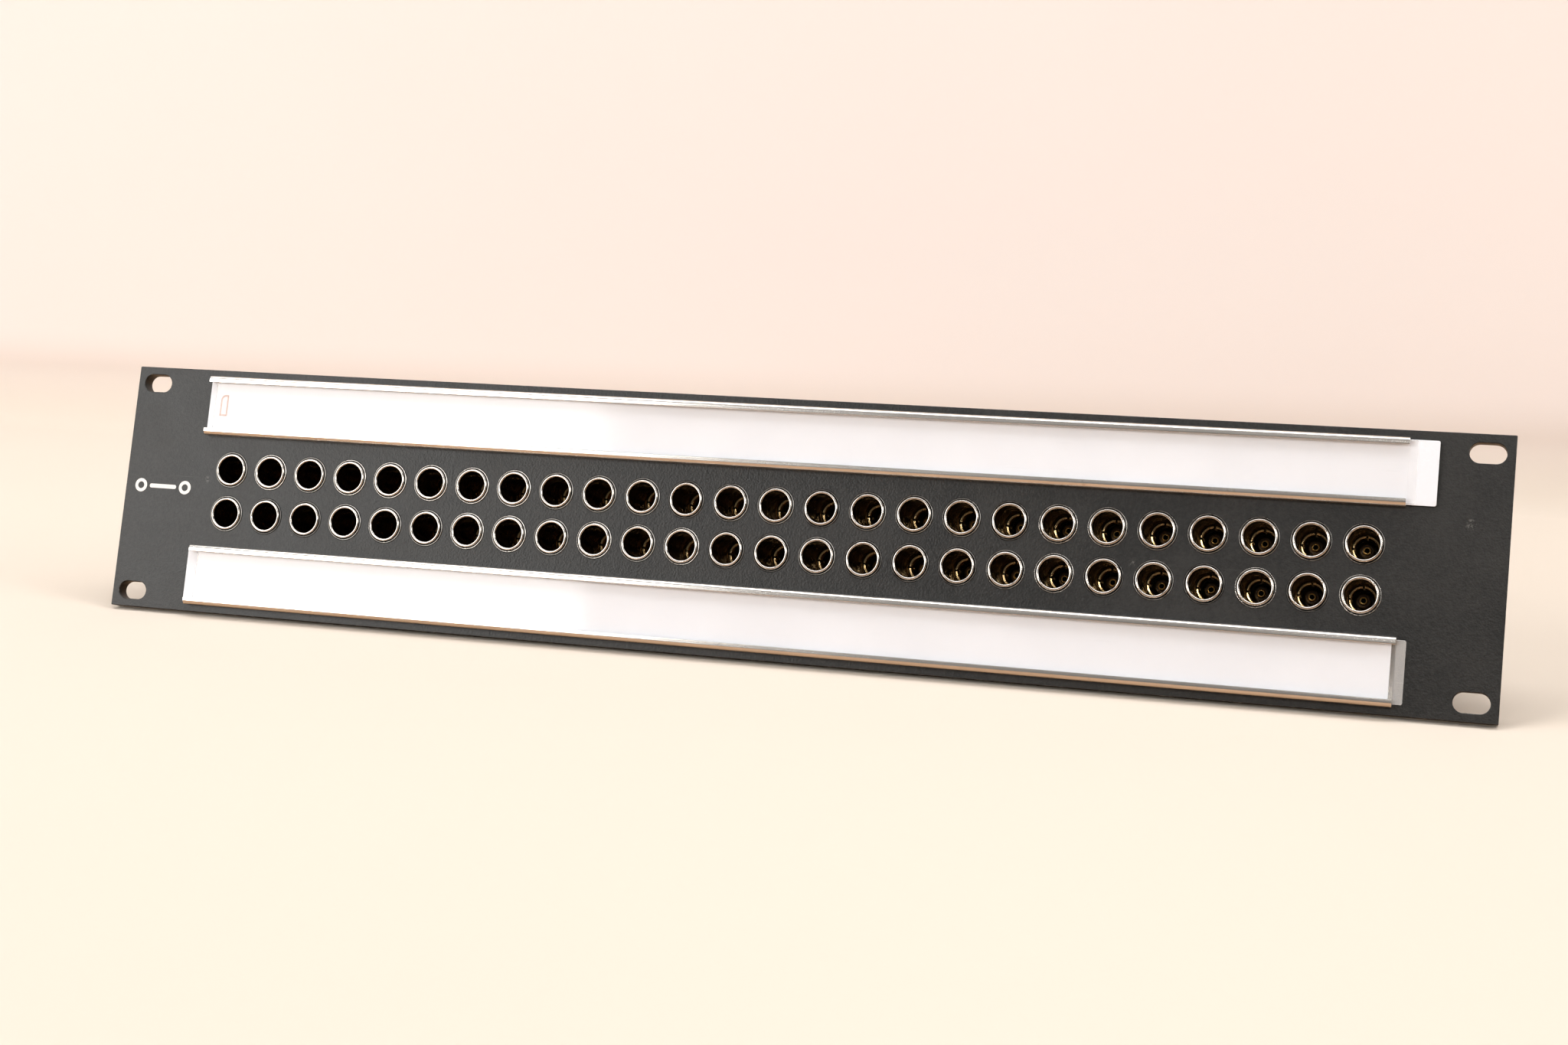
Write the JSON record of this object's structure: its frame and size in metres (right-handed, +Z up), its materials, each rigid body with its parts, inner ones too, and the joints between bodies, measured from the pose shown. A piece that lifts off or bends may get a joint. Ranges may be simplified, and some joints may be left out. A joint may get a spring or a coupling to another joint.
{
  "type": "patch bay",
  "caption": "Rack-mount coaxial patch bay: rows of plug-in jacks on a black panel between sliding label strips, with bayonet connectors behind.",
  "frame": {"origin": "centre of the panel's rear face, the face that seats on the rack rails, midway between the four rack slots", "axes": "+X to the right seen from the front, +Y to the rear along the jack axes, +Z up"},
  "size_m": [0.4826, 0.1004, 0.0882],
  "materials": {
    "panel_black": "matte black anodised",
    "bright_aluminium": "bright formed sheet",
    "clear_plastic": "clear extruded strip",
    "card_white": "white card",
    "bright_nickel": "bright nickel plate",
    "cast_nickel": "satin nickel plate",
    "gold_brass": "gold plate",
    "spring_metal": "spring strip",
    "white_insulator": "turned insulator",
    "lever_plastic": "moulded",
    "screw_black": "black oxide",
    "pin_steel": "ground",
    "resistor_body": "lacquered"
  },
  "bodies": {
    "bay": {"front_panel": "panel_black", "upper_label_holder": "bright_aluminium", "lower_label_holder": "bright_aluminium", "holder_rivets": "bright_aluminium", "panel_bushings": "bright_nickel", "jack_barrels": "bright_nickel", "ground_sleeves": "gold_brass", "centre_contacts": "gold_brass", "contact_insulators": "white_insulator", "upper_lever_springs": "spring_metal", "lower_lever_springs": "spring_metal", "lever_pivot_pins": "pin_steel", "termination_resistors": "resistor_body", "jack_housings": "cast_nickel", "housing_covers": "cast_nickel", "cover_screws": "screw_black", "module_screws": "screw_black", "bnc_shells": "bright_nickel", "bnc_insulators": "white_insulator", "bnc_contacts": "gold_brass", "bnc_lock_washers": "bright_nickel", "bnc_nuts": "bright_nickel"},
    "upper_card": {"upper_label_card": "card_white"},
    "upper_window": {"upper_label_window": "clear_plastic"},
    "lower_card": {"lower_label_card": "card_white"},
    "lower_window": {"lower_label_window": "clear_plastic"},
    "upper_levers": {"upper_switch_levers": "lever_plastic", "upper_contact_blades": "gold_brass"},
    "lower_levers": {"lower_switch_levers": "lever_plastic", "lower_contact_blades": "gold_brass"}
  },
  "joints": [
    {"name": "upper_card_slide", "type": "slide", "parent": "bay", "child": "upper_card", "axis": [1, 0, 0], "range_m": [-0.4, 0.4]},
    {"name": "upper_window_slide", "type": "slide", "parent": "bay", "child": "upper_window", "axis": [1, 0, 0], "range_m": [-0.4, 0.4]},
    {"name": "lower_card_slide", "type": "slide", "parent": "bay", "child": "lower_card", "axis": [1, 0, 0], "range_m": [-0.4, 0.4]},
    {"name": "lower_window_slide", "type": "slide", "parent": "bay", "child": "lower_window", "axis": [1, 0, 0], "range_m": [-0.4, 0.4]},
    {"name": "upper_lever_pivot", "type": "hinge", "parent": "bay", "child": "upper_levers", "pos_m": [0, 0.05, 0], "axis": [1, 0, 0], "range_deg": [0, 2.2], "stiffness_Nm_per_rad": 1, "springref_deg": -2.01, "deforming": ["upper_lever_springs"]},
    {"name": "lower_lever_pivot", "type": "hinge", "parent": "bay", "child": "lower_levers", "pos_m": [0, 0.05, 0], "axis": [-1, 0, 0], "range_deg": [0, 2.2], "stiffness_Nm_per_rad": 1, "springref_deg": -2.01, "deforming": ["lower_lever_springs"]}
  ]
}
